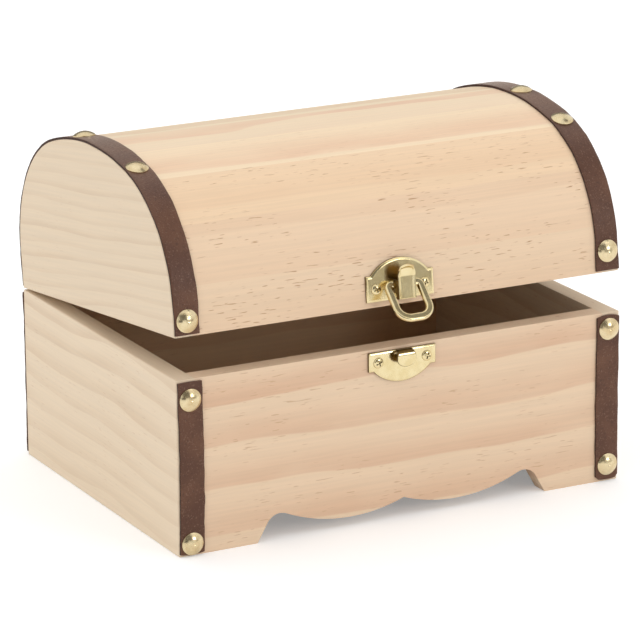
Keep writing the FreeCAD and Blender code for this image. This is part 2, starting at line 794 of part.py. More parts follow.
# Two lugs stand out of the plate and carry the lever's rivet, inside the lever's cheeks
pivot_height = "(sizes.latch_plate_low + sizes.lever_pivot_rise)"
pivot_out = "(sizes.plate_thick + sizes.lever_pivot_stand)"
pivot_z, pivot_y = amount(pivot_height), -amount(pivot_out)
lug_outer = "(sizes.lever_width / 2 - sizes.lever_sheet - sizes.lug_clear)"
for side, name in ((-1, "left"), (1, "right")):
    lug = new_sketch(latch_plate, "YZ_Plane", "lug_" + name,
                     lug_outer + " - sizes.lug_thick" if side > 0 else "-" + lug_outer)
    low, high = pivot_z - S.lug_radius, pivot_z + S.lug_radius
    root = S.plate_bevel - S.plate_thick
    draw(lug, [
        line((pivot_y, low), (root, low)),
        line((root, low), (root, high)),
        line((root, high), (pivot_y, high)),
        arc((pivot_y, high), (pivot_y - S.lug_radius, pivot_z), (pivot_y, low)),
    ])
    circle(lug, "-" + pivot_out, pivot_height, "sizes.lever_pin_radius + sizes.running_clear")
    pad(latch_plate, lug, "sizes.lug_thick")
latch_plate.Placement = on_lid(S.latch_shift, lid_front, lid_low)
latch_plate_screws = screws("latch_plate_screws", [
    on_lid(S.latch_shift + side * amount(plate_screw_reach), lid_front - S.plate_thick,
           lid_low + S.latch_plate_low + S.latch_screw_rise, 90) for side in (-1, 1)])


def round_tip(body, label, half, end, radius, upward):
    """Both corners of a tongue's tip cut to a radius, seen from the front."""
    corners = new_sketch(body, "XZ_Plane", label, "sizes.plate_thick")
    begin = end - upward * radius
    for side in (-1, 1):
        middle = (side * (half - radius * bend_share), end - upward * radius * bend_share)
        draw(corners, [
            arc((side * half, begin), middle, (side * (half - radius), end)),
            line((side * (half - radius), end), (side * half, end)),
            line((side * half, end), (side * half, begin)),
        ])
    pocket(body, corners, "sizes.overrun", reversed_side=True)


# Thumb lever: a folded channel with a flared, rounded tip
latch_lever = new_body("latch_lever")
lever_profile = new_sketch(latch_lever, "YZ_Plane", "lever_profile", "-sizes.lever_width / 2")
web_out = pivot_y - S.lever_web_stand
web_in = web_out + S.lever_sheet
heel = pivot_z - S.lever_heel
crease = pivot_z + S.lever_blade
tip = crease + S.lever_tip_length
cheek = -S.plate_thick - S.lever_cheek_clear
draw(lever_profile, polygon([
    (web_out, heel),
    (web_out, crease),
    (web_out - S.lever_flare, tip),
    (web_in - S.lever_flare, tip),
    (web_in, crease),
    (cheek, pivot_z + S.lever_cheek_rise),
    (cheek, heel),
]))
pad(latch_lever, lever_profile, "sizes.lever_width")
channel = new_sketch(latch_lever, "YZ_Plane", "lever_channel", "-sizes.lever_width / 2 + sizes.lever_sheet")
rectangle(channel, "-(" + pivot_out + " + sizes.lever_web_stand - sizes.lever_sheet)", "sizes.overrun",
          "-sizes.overrun", pivot_height + " + sizes.lever_blade")
pocket(latch_lever, channel, "sizes.lever_width - 2 * sizes.lever_sheet", reversed_side=True)
eyes = new_sketch(latch_lever, "YZ_Plane", "lever_eyes", "-sizes.lever_width / 2 - sizes.overrun")
circle(eyes, "-" + pivot_out, pivot_height, "sizes.lever_pin_radius + sizes.shank_clear")
circle(eyes, "-(" + pivot_out + " - sizes.bail_pivot_setback)", pivot_height + " + sizes.bail_pivot_rise",
       "sizes.bail_wire_radius + sizes.running_clear")
pocket(latch_lever, eyes, "sizes.lever_width + 2 * sizes.overrun", reversed_side=True)
round_tip(latch_lever, "lever_tip", S.lever_width / 2, tip, S.lever_tip_radius, 1)
latch_lever.Placement = on_lid(S.latch_shift, lid_front, lid_low)

lever_pin = new_body("latch_lever_pin")
pin_outline = new_sketch(lever_pin, "XZ_Plane", "pin_outline")
head_start = S.lever_width / 2
head_end = head_start + S.lever_pin_head
draw(pin_outline, polygon([
    (0, -head_end),
    (S.lever_pin_head_radius, -head_end),
    (S.lever_pin_head_radius, -head_start),
    (S.lever_pin_radius, -head_start),
    (S.lever_pin_radius, head_start),
    (S.lever_pin_head_radius, head_start),
    (S.lever_pin_head_radius, head_end),
    (0, head_end),
]))
revolve(lever_pin, pin_outline)
pin_place = on_lid(S.latch_shift, lid_front + pivot_y, lid_low + pivot_z)
lever_pin.Placement = pin_place.multiply(turned(90, V(0, 1, 0), V(0, 0, 0)))

# Wire bail: both ends turn in through the lever's cheeks
latch_bail = new_body("latch_bail")
bail_path = new_sketch(latch_bail, "XZ_Plane", "bail_path")
tip_x = S.lever_width / 2 - S.lever_sheet
leg, elbow, corner, long = S.bail_half_width, S.bail_elbow_radius, S.bail_corner_radius, S.bail_length


def bail_half(side):
    return [
        line((side * tip_x, 0), (side * (leg - elbow), 0)),
        arc((side * (leg - elbow), 0), (side * (leg - elbow * bend_share), -elbow * bend_share),
            (side * leg, -elbow)),
        line((side * leg, -elbow), (side * leg, corner - long)),
        arc((side * leg, corner - long), (side * (leg - corner * bend_share), corner * bend_share - long),
            (side * (leg - corner), -long)),
    ]


draw(bail_path, bail_half(-1))
draw(bail_path, [line((corner - leg, -long), (leg - corner, -long))])
draw(bail_path, bail_half(1))
bail_section = new_sketch(latch_bail, "YZ_Plane", "bail_section",
                          "-(sizes.lever_width / 2 - sizes.lever_sheet)")
circle(bail_section, "0", "0", "sizes.bail_wire_radius")
doc.recompute()
bail_wire = latch_bail.newObject("PartDesign::AdditivePipe", "bail_wire")
bail_wire.Profile = bail_section
bail_wire.Spine = (bail_path, ["Edge%d" % (i + 1) for i in range(bail_path.GeometryCount)])
doc.recompute()
latch_bail.Placement = on_lid(S.latch_shift, lid_front + pivot_y + S.bail_pivot_setback,
                              lid_low + pivot_z + S.bail_pivot_rise, -S.bail_swing_angle)

# Hook plate on the front of the box: its tongue is folded over the top edge and hangs in front
hook_plate = catch_plate("hook_plate", 0, -S.hook_ear_height, -S.hook_ear_height - S.hook_arch_rise,
                         "-sizes.hook_screw_drop")
hook = new_sketch(hook_plate, "YZ_Plane", "hook_profile", "-sizes.hook_width / 2")
inner_bend = S.bail_wire_radius + S.hook_clear
outer_bend = inner_bend + S.hook_sheet
hook_centre = -S.plate_thick - inner_bend
bend = -S.hook_bend_drop
hook_low = bend - S.hook_length
draw(hook, [
    line((hook_centre + inner_bend, bend), (hook_centre + outer_bend, bend)),
    arc((hook_centre + outer_bend, bend), (hook_centre, bend + outer_bend), (hook_centre - outer_bend, bend)),
    line((hook_centre - outer_bend, bend), (hook_centre - outer_bend, hook_low)),
    line((hook_centre - outer_bend, hook_low), (hook_centre - inner_bend, hook_low)),
    line((hook_centre - inner_bend, hook_low), (hook_centre - inner_bend, bend)),
    arc((hook_centre - inner_bend, bend), (hook_centre, bend + inner_bend), (hook_centre + inner_bend, bend)),
])
pad(hook_plate, hook, "sizes.hook_width")
round_tip(hook_plate, "hook_tip", S.hook_width / 2, hook_low, S.hook_tip_radius, -1)
hook_top = S.base_height - S.hook_plate_drop
hook_plate.Placement = turned(0, V(0, 0, 1), V(S.latch_shift, front_y, hook_top))
hook_plate_screws = screws("hook_plate_screws", [
    turned(90, V(1, 0, 0), V(S.latch_shift + side * amount(plate_screw_reach), front_y - S.plate_thick,
                             hook_top - S.hook_screw_drop)) for side in (-1, 1)])

# Check every feature, then write one file per piece
doc.recompute()
for item in doc.Objects:
    if "Invalid" in item.State or "Error" in item.State:
        raise RuntimeError("%s: %s" % (item.Name, item.State))

pieces = [front_panel, back_panel, left_side, right_side, bottom_panel, lid_left_end, lid_right_end]
pieces += staves + [lid_strap_left, lid_strap_right] + base_straps + [base_nails, lid_nails]
pieces += hinge_pieces + [hinge_base_screws, hinge_lid_screws]
pieces += [latch_plate, latch_plate_screws, latch_lever, lever_pin, latch_bail, hook_plate, hook_plate_screws]
os.makedirs("parts", exist_ok=True)
for piece in pieces:
    if piece.Shape.isNull() or not piece.Shape.isValid():
        raise RuntimeError("bad shape: " + piece.Label)
    piece.Shape.exportStep("parts/%s.step" % piece.Label)
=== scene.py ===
import math

import bmesh
import bpy
from mathutils import Matrix, Vector, noise


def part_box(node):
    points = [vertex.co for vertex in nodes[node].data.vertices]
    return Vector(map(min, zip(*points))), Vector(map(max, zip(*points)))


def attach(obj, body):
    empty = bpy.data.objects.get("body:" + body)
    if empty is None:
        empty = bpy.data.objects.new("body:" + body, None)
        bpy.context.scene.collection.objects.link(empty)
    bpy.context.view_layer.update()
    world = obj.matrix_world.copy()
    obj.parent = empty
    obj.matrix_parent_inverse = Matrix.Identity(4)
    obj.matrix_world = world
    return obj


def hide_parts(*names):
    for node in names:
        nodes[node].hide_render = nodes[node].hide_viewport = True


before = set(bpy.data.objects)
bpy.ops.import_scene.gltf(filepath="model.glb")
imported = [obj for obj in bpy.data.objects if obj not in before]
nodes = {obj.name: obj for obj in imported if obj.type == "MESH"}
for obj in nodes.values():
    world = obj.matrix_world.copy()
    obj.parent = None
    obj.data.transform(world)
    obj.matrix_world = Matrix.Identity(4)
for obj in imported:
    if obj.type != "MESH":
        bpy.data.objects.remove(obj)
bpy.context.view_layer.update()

# Box walls. Four sanded pine boards, butted and glued at the corners, with a clear matt lacquer.
# The front one has its lower edge sawn to a scallop. Flat sawn wood shows broad soft bands, each
# darkening down to a sharp edge, with fine fibres and short brown resin flecks along the grain.


def paint(red, green, blue):
    """A screen colour, 0 to 255 a channel, as the linear values that a shader takes."""
    shares = [channel / 255 for channel in (red, green, blue)]
    linear = [s / 12.92 if s <= 0.04045 else ((s + 0.055) / 1.055) ** 2.4 for s in shares]
    return tuple(linear) + (1.0,)


def fill(tree, socket, value):
    """Links a socket to another, or gives it a plain value."""
    if isinstance(value, bpy.types.NodeSocket):
        tree.links.new(value, socket)
    else:
        socket.default_value = value


def put(tree, kind, options=None, **inputs):
    """Adds a shader node, sets its options and fills its inputs."""
    made = tree.nodes.new("ShaderNode" + kind)
    for option, value in (options or {}).items():
        setattr(made, option, value)
    for name, value in inputs.items():
        fill(tree, made.inputs[name.replace("_", " ")], value)
    return made


def sum_of(tree, operation, *values):
    """One step of arithmetic on numbers or sockets."""
    made = tree.nodes.new("ShaderNodeMath")
    made.operation = operation
    for socket, value in zip(made.inputs, values):
        fill(tree, socket, value)
    return made.outputs[0]


def ease(tree, value, low, high, start=0.0, end=1.0):
    """A smooth step from one value to another."""
    made = put(tree, "MapRange", {"interpolation_type": "SMOOTHSTEP"}, Value=value)
    for name, amount in (("From Min", low), ("From Max", high), ("To Min", start), ("To Max", end)):
        fill(tree, made.inputs[name], amount)
    return made.outputs["Result"]


def tint(tree, share, under, over, mode="MIX"):
    """Lays one colour over another by a share."""
    made = put(tree, "Mix", {"data_type": "RGBA", "blend_type": mode})
    fill(tree, made.inputs[0], share)
    fill(tree, made.inputs[6], under)
    fill(tree, made.inputs[7], over)
    return made.outputs[2]


def shade(tree, colour, level):
    """Darkens or lightens a colour evenly by a level that varies over the surface."""
    grey = put(tree, "CombineColor", Red=level, Green=level, Blue=level).outputs[0]
    return tint(tree, 1.0, colour, grey, "MULTIPLY")


def grain_noise(tree, position, stretch, detail=1.0):
    """Noise with its own count of features per metre along each direction."""
    moved = put(tree, "VectorMath", {"operation": "MULTIPLY"})
    fill(tree, moved.inputs[0], position)
    fill(tree, moved.inputs[1], stretch)
    return put(tree, "TexNoise", Vector=moved.outputs[0], Scale=1.0, Detail=detail).outputs[0]


def new_group(name, inputs, outputs):
    """An empty node group with named sockets, and the ends of its wires."""
    group = bpy.data.node_groups.new(name, "ShaderNodeTree")
    for label, kind, value in inputs:
        socket = group.interface.new_socket(
            name=label, in_out="INPUT", socket_type="NodeSocket" + kind)
        socket.default_value = value
    for label, kind in outputs:
        group.interface.new_socket(name=label, in_out="OUTPUT", socket_type="NodeSocket" + kind)
    given = group.nodes.new("NodeGroupInput").outputs
    result = group.nodes.new("NodeGroupOutput").inputs
    return group, given, result


def make_pine_figure():
    """Growth bands, fibres and resin flecks of flat sawn pine."""
    white = (1, 1, 1, 1)
    tree, given, result = new_group(
        "pine_figure",
        [("Along", "Float", 0.0), ("Across", "Float", 0.0), ("Through", "Float", 0.0),
         ("Pitch", "Float", 0.017), ("Shift", "Float", 0.0), ("Waver", "Float", 0.5),
         ("Start", "Float", 0.1), ("Bands", "Float", 1.0), ("Flecks", "Float", 1.0),
         ("Pale", "Color", white), ("Band", "Color", white), ("Fleck", "Color", white)],
        [("Colour", "Color"), ("Roughness", "Float"), ("Height", "Float")])
    position = put(tree, "CombineXYZ", X=given["Along"], Y=given["Across"],
                   Z=given["Through"]).outputs[0]
    slow = grain_noise(tree, position, (9, 20, 20), 2.0)
    ring = sum_of(tree, "DIVIDE", given["Across"], given["Pitch"])
    ring = sum_of(tree, "ADD", ring, given["Shift"])
    ring = sum_of(tree, "MULTIPLY_ADD", sum_of(tree, "SUBTRACT", slow, 0.5), given["Waver"], ring)
    year = sum_of(tree, "FLOOR", ring)
    growth = sum_of(tree, "FRACT", ring)
    summer = sum_of(tree, "MULTIPLY", ease(tree, growth, given["Start"], 0.95),
                    ease(tree, growth, 0.95, 1.0, 1.0, 0.0))
    chance = put(tree, "TexWhiteNoise", {"noise_dimensions": "1D"}, W=year).outputs["Value"]
    summer = sum_of(tree, "MULTIPLY", summer, ease(tree, chance, 0.0, 1.0, 0.5, 1.0))
    mottle = grain_noise(tree, position, (24, 60, 60), 2.0)
    summer = sum_of(tree, "MULTIPLY", summer, ease(tree, mottle, 0.25, 0.7, 0.55, 1.0))
    banding = sum_of(tree, "MULTIPLY", summer, given["Bands"])
    colour = tint(tree, banding, given["Pale"], given["Band"])
    fibre = grain_noise(tree, position, (22, 900, 900), 3.0)
    colour = shade(tree, colour, ease(tree, fibre, 0.3, 0.7, 0.97, 1.02))
    dash = ease(tree, grain_noise(tree, position, (210, 1900, 1900), 0.0), 0.72, 0.80)
    patch = ease(tree, grain_noise(tree, position, (18, 45, 45), 1.0), 0.36, 0.58)
    dash = sum_of(tree, "MULTIPLY", dash, sum_of(tree, "MULTIPLY", patch, given["Flecks"]))
    fill(tree, result["Colour"], tint(tree, dash, colour, given["Fleck"]))
    fill(tree, result["Roughness"], ease(tree, fibre, 0.2, 0.8, 0.46, 0.62))
    fill(tree, result["Height"], sum_of(tree, "MULTIPLY_ADD", dash, -0.8, fibre))
    return tree


pine_figure = make_pine_figure()
fleck_brown = paint(194, 153, 117)
pine_bump = 0.0001
pine_bump_strength = 0.4
pine_gloss = 0.25


def new_material(name):
    material = bpy.data.materials.new(name)
    material.use_nodes = True
    return material, material.node_tree, material.node_tree.nodes["Principled BSDF"]


def pine(name, directions, pale, band, pitch, shift, waver, start, bands, flecks):
    """Pine with its grain along the first of three directions and its bands along the second."""
    material, tree, shader = new_material(name)
    spot = put(tree, "TexCoord").outputs["Object"]
    figure = put(tree, "Group", {"node_tree": pine_figure}, Pitch=pitch, Shift=shift, Waver=waver,
                 Start=start, Bands=bands, Flecks=flecks, Pale=pale, Band=band, Fleck=fleck_brown)
    for socket, direction in zip(("Along", "Across", "Through"), directions):
        fill(tree, figure.inputs[socket], direction(tree, spot))
    bump = put(tree, "Bump", Strength=pine_bump_strength, Distance=pine_bump,
               Height=figure.outputs["Height"])
    fill(tree, shader.inputs["Base Color"], figure.outputs["Colour"])
    fill(tree, shader.inputs["Roughness"], figure.outputs["Roughness"])
    fill(tree, shader.inputs["Normal"], bump.outputs["Normal"])
    shader.inputs["Specular IOR Level"].default_value = pine_gloss
    return material


def axis(name, sign=1.0):
    """Reads one direction of the frame, turned round where the sign is negative."""
    def read(tree, spot):
        part = put(tree, "SeparateXYZ", Vector=spot).outputs[name]
        return sum_of(tree, "MULTIPLY", part, sign)
    return read


def finish_node(name, material):
    nodes[name].data.materials.clear()
    nodes[name].data.materials.append(material)


front_pale = paint(236, 209, 179)
front_band = paint(213, 167, 135)
end_pale = paint(234, 214, 187)
end_band = paint(216, 190, 160)
# The back board is painted a warmer, darker pine than the front. This painted shade stands in for
# the warm shadow inside the box, and the outside of the board shows the same tone.
back_shaded_pale = paint(233, 201, 165)
back_shaded_band = paint(213, 168, 131)
front_pine = pine("front_pine", (axis("X"), axis("Z", -1), axis("Y")), front_pale, front_band,
                  pitch=0.018, shift=0.333, waver=0.8, start=0.1, bands=1.0, flecks=0.55)
end_pine = pine("end_pine", (axis("Y"), axis("Z", -1), axis("X")), end_pale, end_band,
                pitch=0.0105, shift=0.4, waver=1.6, start=0.3, bands=0.8, flecks=0.35)
back_shaded_pine = pine("back_shaded_pine", (axis("X"), axis("Z", -1), axis("Y")), back_shaded_pale, back_shaded_band,
                 pitch=0.018, shift=0.1, waver=0.8, start=0.1, bands=0.9, flecks=0.4)
finish_node("front_panel", front_pine)
finish_node("back_panel", back_shaded_pine)
finish_node("left_side", end_pine)
finish_node("right_side", end_pine)

# Bottom. A thin sheet of plywood with a plain face, slid into grooves in the four walls.
# It only shows through the open mouth of the box.
ply_pale = paint(214, 184, 146)
ply_band = paint(190, 154, 114)
bottom_ply = pine("bottom_ply", (axis("X"), axis("Y"), axis("Z")), ply_pale, ply_band,
                  pitch=0.03, shift=0.1, waver=2.0, start=0.1, bands=0.6, flecks=0.2)
finish_node("bottom_panel", bottom_ply)

# Corner straps of the box. Strips of brown leathercloth with a fine pressed grain, cut with shears
# so that their edges waver a little, laid over the four corner joints and held by two nails each.
cloth_brown = paint(86, 54, 39)
cloth_light = paint(104, 69, 50)
cloth_dark = paint(74, 49, 39)
# Painted sheen: pale specks that stand in for glints of light on the pressed grain.
cloth_painted_sheen = paint(130, 98, 79)
cut_edge_brown = paint(52, 34, 27)
cloth_pebbles = 2200.0
cloth_bump = 0.0001
cloth_bump_strength = 0.5
cloth_gloss = 0.28
cloth_sheen = 0.4
cloth_sheen_roughness = 0.4
cloth_sheen_tint = (1.0, 0.83, 0.7, 1)
cut_edge_roughness = 0.85


def leathercloth():
    material, tree, shader = new_material("brown_leathercloth")
    spot = put(tree, "TexCoord").outputs["Object"]
    grain = put(tree, "TexVoronoi", Vector=spot, Scale=cloth_pebbles).outputs["Distance"]
    cloud = grain_noise(tree, spot, (60, 60, 60), 3.0)
    speck = grain_noise(tree, spot, (900, 900, 900), 2.0)
    sheen_specks = grain_noise(tree, spot, (1500, 1500, 1500), 2.0)
    colour = tint(tree, ease(tree, cloud, 0.35, 0.75), cloth_brown, cloth_light)
    colour = tint(tree, ease(tree, speck, 0.55, 0.75, 0.0, 0.6), colour, cloth_dark)
    # Pale specks of painted sheen over the cloth.
    colour = tint(tree, ease(tree, sheen_specks, 0.56, 0.72, 0.0, 0.55), colour, cloth_painted_sheen)
    bump = put(tree, "Bump", Strength=cloth_bump_strength, Distance=cloth_bump, Height=grain)
    fill(tree, shader.inputs["Base Color"], colour)
    fill(tree, shader.inputs["Roughness"], ease(tree, speck, 0.3, 0.7, 0.34, 0.5))
    fill(tree, shader.inputs["Normal"], bump.outputs["Normal"])
    shader.inputs["Specular IOR Level"].default_value = cloth_gloss
    shader.inputs["Sheen Weight"].default_value = cloth_sheen
    shader.inputs["Sheen Roughness"].default_value = cloth_sheen_roughness
    shader.inputs["Sheen Tint"].default_value = cloth_sheen_tint
    return material


def cut_edge():
    material, tree, shader = new_material("cut_cloth_edge")
    spot = put(tree, "TexCoord").outputs["Object"]
    fray = grain_noise(tree, spot, (1500, 1500, 1500), 3.0)
    frayed = ease(tree, fray, 0.4, 0.7)
    fill(tree, shader.inputs["Base Color"], tint(tree, frayed, cut_edge_brown, cloth_brown))
    shader.inputs["Roughness"].default_value = cut_edge_roughness
    return material


strap_cloth = leathercloth()
strap_edge = cut_edge()
strap_thick = 0.001
strap_columns = 8
strap_rows = 48
edge_waver = 0.00028
edge_waves = 110.0
fine_waver = 0.4
fine_waves = 4.0
strap_round = 0.00018
cut_facing = 0.8
near = 1e-5
weld = 1e-6


def begin():
    """Clears the selection, so that the next primitive is the only thing in hand."""
    if bpy.context.object is not None and bpy.context.object.mode != "OBJECT":
        bpy.ops.object.mode_set(mode="OBJECT")
    bpy.ops.object.select_all(action="DESELECT")


def pick(kind, test):
    """In edit mode, selects the points, edges or faces whose middle passes a test."""
    bpy.ops.mesh.select_mode(type={"verts": "VERT", "edges": "EDGE", "faces": "FACE"}[kind])
    bpy.ops.mesh.select_all(action="DESELECT")
    mesh = bmesh.from_edit_mesh(bpy.context.object.data)
    for item in getattr(mesh, kind):
        points = [item] if kind == "verts" else item.verts
        middle = sum((point.co for point in points), Vector()) / len(points)
        if test(middle):
            item.select_set(True)
    mesh.select_flush_mode()
    bmesh.update_edit_mesh(bpy.context.object.data)


def settle():
    """Puts the place, turn and scale of the piece in hand into its mesh."""
    bpy.ops.object.transform_apply(location=True, rotation=True, scale=True)


def add_modifier(piece, kind, **settings):
    """Adds a modifier to the piece in hand and applies it."""
    made = piece.modifiers.new(kind.lower(), kind)
    for name, value in settings.items():
        setattr(made, name, value)
    bpy.ops.object.modifier_apply(modifier=made.name)


def round_edges(piece, width, steps=2, over=30.0):
    """Rounds the sharp edges and smooths the rest."""
    add_modifier(piece, "BEVEL", width=width, segments=steps, limit_method="ANGLE",
                 angle_limit=math.radians(over))
    bpy.ops.object.shade_smooth_by_angle(angle=math.radians(over + 10))


def waver_edges(piece, middle, half, seed):
    """Lets the two long edges of a strap wander as shears cut them."""
    for point in piece.data.vertices:
        side = (point.co.x - middle) / half
        place = Vector((seed + side, point.co.y * edge_waves, point.co.z * edge_waves))
        drift = noise.noise(place) + fine_waver * noise.noise(place * fine_waves)
        point.co.x += edge_waver * (drift * abs(side) ** 3 - side)


def finish_strap(piece, node, body):
    """Gives a strap its cloth, with dark cut edges, and lets it stand for the plain strip."""
    round_edges(piece, strap_round)
    piece.data.materials.append(strap_cloth)
    piece.data.materials.append(strap_edge)
    for face in piece.data.polygons:
        face.material_index = 1 if abs(face.normal.x) > cut_facing else 0
    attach(piece, body)
    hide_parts(node)


def box_strap(node, outward, shift, bow, crown, clip):
    """A strip that covers a corner joint, from just below the rim to just above the floor,
    laid a little to one side and bowed as it was nailed down."""
    low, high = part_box(node)
    middle = (low + high) / 2
    begin()
    bpy.ops.mesh.primitive_grid_add(
        x_subdivisions=strap_columns, y_subdivisions=strap_rows, size=1.0)
    piece = bpy.context.object
    piece.name = node + "_cloth"
    piece.scale = (high.x - low.x, high.z - low.z, 1.0)
    piece.rotation_euler.x = -outward * math.pi / 2
    piece.location = (middle.x, low.y if outward > 0 else high.y, middle.z)
    settle()
    half = (high.x - low.x) / 2
    tall = high.z - low.z
    for point in piece.data.vertices:
        side = (point.co.x - middle.x) / half
        rise = (point.co.z - low.z) / tall
        point.co.x += shift + bow * math.sin(math.pi * rise)
        point.co.z += -crown * side * side * rise ** 8
        point.co.z += clip * abs(side) ** 6 * (1 - rise) ** 10
    waver_edges(piece, middle.x, half, low.x * 1000)
    add_modifier(piece, "SOLIDIFY", thickness=strap_thick, offset=1.0)
    finish_strap(piece, node, "base")


box_strap("base_strap_front_left", -1, shift=0.0, bow=0.0006, crown=0.0002, clip=0.0003)
box_strap("base_strap_front_right", -1, shift=0.0, bow=-0.0003, crown=0.0010, clip=0.0016)
box_strap("base_strap_back_left", 1, shift=-0.0004, bow=0.0002, crown=0.0004, clip=0.0005)
box_strap("base_strap_back_right", 1, shift=0.0006, bow=-0.0002, crown=0.0004, clip=0.0005)

# Brass nails of the box. Domed heads stamped from sheet and plated a pale yellow, two on each
# corner strap, driven through the cloth into the boards.
nail_pale = paint(223, 206, 167)
nail_warm = paint(208, 185, 142)
brass_stain = paint(176, 146, 92)
brass_bump_strength = 0.3


def make_plated_brass():
    """Cloudy plating with fine rubbing marks and a few stains."""
    tree, given, result = new_group(
        "plated_brass",
        [("Spot", "Vector", (0, 0, 0)), ("Polish", "Float", 0.15),
         ("Pale", "Color", (1, 1, 1, 1)), ("Warm", "Color", (1, 1, 1, 1))],
        [("Colour", "Color"), ("Roughness", "Float"), ("Height", "Float")])
    cloud = grain_noise(tree, given["Spot"], (220, 220, 220), 3.0)
    rub = grain_noise(tree, given["Spot"], (2600, 2600, 500), 2.0)
    stain = grain_noise(tree, given["Spot"], (700, 700, 700), 2.0)
    colour = tint(tree, ease(tree, cloud, 0.35, 0.7), given["Pale"], given["Warm"])
    stained = ease(tree, stain, 0.66, 0.82, 0.0, 0.35)
    fill(tree, result["Colour"], tint(tree, stained, colour, brass_stain))
    rubbed = ease(tree, rub, 0.35, 0.8, 0.0, 0.1)
    fill(tree, result["Roughness"], sum_of(tree, "ADD", given["Polish"], rubbed))
    fill(tree, result["Height"], sum_of(tree, "MULTIPLY_ADD", rub, 0.3, cloud))
    return tree


plated_brass = make_plated_brass()


def brass(name, pale, warm, polish, dents):
    """Plated brass of a given roughness, with dents of a given depth."""
    material, tree, shader = new_material(name)
    spot = put(tree, "TexCoord").outputs["Object"]
    plate = put(tree, "Group", {"node_tree": plated_brass}, Spot=spot, Polish=polish,
                Pale=pale, Warm=warm)
    bump = put(tree, "Bump", Strength=brass_bump_strength, Distance=dents,
               Height=plate.outputs["Height"])
    fill(tree, shader.inputs["Base Color"], plate.outputs["Colour"])
    fill(tree, shader.inputs["Roughness"], plate.outputs["Roughness"])
    fill(tree, shader.inputs["Normal"], bump.outputs["Normal"])
    shader.inputs["Metallic"].default_value = 1.0
    return material


nail_brass = brass("nail_brass", nail_pale, nail_warm, polish=0.2, dents=0.00003)
finish_node("base_nails", nail_brass)

# Hinges. Two stamped brass butt hinges on the back, each a leaf on the box, a leaf on the lid and a
# pin through their knuckles, held by pan head screws with a cross recess.
hinge_pale = paint(232, 214, 164)
hinge_warm = paint(220, 198, 142)
hinge_brass = brass("hinge_brass", hinge_pale, hinge_warm, polish=0.2, dents=0.0001)
for name in nodes:
    if name.startswith("hinge"):
        finish_node(name, hinge_brass)

# Painted shade: a dull dark brass for the sides of the screw heads and the walls of their cross
# recesses, standing in for the shadow there.
screw_shade_dull = paint(128, 102, 58)
screw_shade_dark = paint(92, 72, 40)
screw_painted_shade = brass("screw_painted_shade", screw_shade_dull, screw_shade_dark, polish=0.4, dents=0.0001)
painted_shade_share = 0.5
screw_radius = 0.0022
screw_height = 0.00095
slot_length = 0.0027
slot_width = 0.00055
slot_depth = 0.0007
first_turn = 0.4
next_turn = 0.9
screw_smooth = 40.0
lid_open = math.radians(6.35)
hinge_out = 0.0021
hinge_height = 0.07225
hinge_screw_spots = (-0.0586, -0.0454, 0.0454, 0.0586)
box_leaf_screw_height = 0.06465
lid_leaf_screw_rise = 0.0076
leaf_thick = 0.0009
lid_place = Matrix.Translation((0, hinge_out, hinge_height)) @ Matrix.Rotation(-lid_open, 4, "X")


def screw_head():
    """One pan head, a flattened dome, with its cross recess."""
    begin()
    bpy.ops.mesh.primitive_uv_sphere_add(segments=32, ring_count=16, radius=screw_radius)
    head = bpy.context.object
    head.scale.z = screw_height / screw_radius
    settle()
    bpy.ops.object.mode_set(mode="EDIT")
    bpy.ops.mesh.select_all(action="SELECT")
    bpy.ops.mesh.bisect(plane_co=(0, 0, 0), plane_no=(0, 0, 1), clear_inner=True, use_fill=True)
    bpy.ops.object.mode_set(mode="OBJECT")
    for turn in (0.0, math.pi / 2):
        begin()
        bpy.ops.mesh.primitive_cube_add(
            size=1.0, location=(0, 0, screw_height), rotation=(0, 0, turn))
        cutter = bpy.context.object
        cutter.scale = (slot_length, slot_width, 2 * slot_depth)
        settle()
        begin()
        head.select_set(True)
        bpy.context.view_layer.objects.active = head
        add_modifier(head, "BOOLEAN", operation="DIFFERENCE", object=cutter)
        bpy.data.objects.remove(cutter)
    return head


def screws(node, places, body, material):
    """Copies the head to each place, each with its own turn, as one piece with painted shade on the
    recess walls and the sides of the heads.
    """
    head = screw_head()
    copies = []
    for number, place in enumerate(places):
        copy = head.copy()
        copy.data = head.data.copy()
        bpy.context.scene.collection.objects.link(copy)
        copy.matrix_world = place @ Matrix.Rotation(first_turn + next_turn * number, 4, "Z")
        copies.append(copy)
    bpy.data.objects.remove(head)
    begin()
    for copy in copies:
        copy.select_set(True)
    bpy.context.view_layer.objects.active = copies[0]
    bpy.ops.object.join()
    piece = bpy.context.object
    piece.name = node + "_heads"
    settle()
    bpy.ops.object.shade_smooth_by_angle(angle=math.radians(screw_smooth))
    piece.data.materials.clear()
    piece.data.materials.append(material)
    piece.data.materials.append(screw_painted_shade)
    outward = places[0].to_3x3() @ Vector((0, 0, 1))
    # Faces turned away from the outward direction get the painted shade.
    for face in piece.data.polygons:
        face.material_index = 1 if abs(face.normal.dot(outward)) < painted_shade_share else 0
    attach(piece, body)
    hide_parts(node)


facing_back = Matrix.Rotation(-math.pi / 2, 4, "X")
facing_front = Matrix.Rotation(math.pi / 2, 4, "X")
screws("hinge_base_screws",
       [Matrix.Translation((x, leaf_thick, box_leaf_screw_height)) @ facing_back
        for x in hinge_screw_spots],
       "base", hinge_brass)
screws("hinge_lid_screws",
       [lid_place @ Matrix.Translation((x, leaf_thick - hinge_out, lid_leaf_screw_rise))
        @ facing_back for x in hinge_screw_spots],
       "lid", hinge_brass)

# Hook plate. A stamped brass plate screwed to the front board just under the rim, with a tongue
# folded out of its top edge and down again, over which the wire loop of the catch drops.
catch_pale = paint(230, 214, 170)
catch_warm = paint(222, 203, 154)
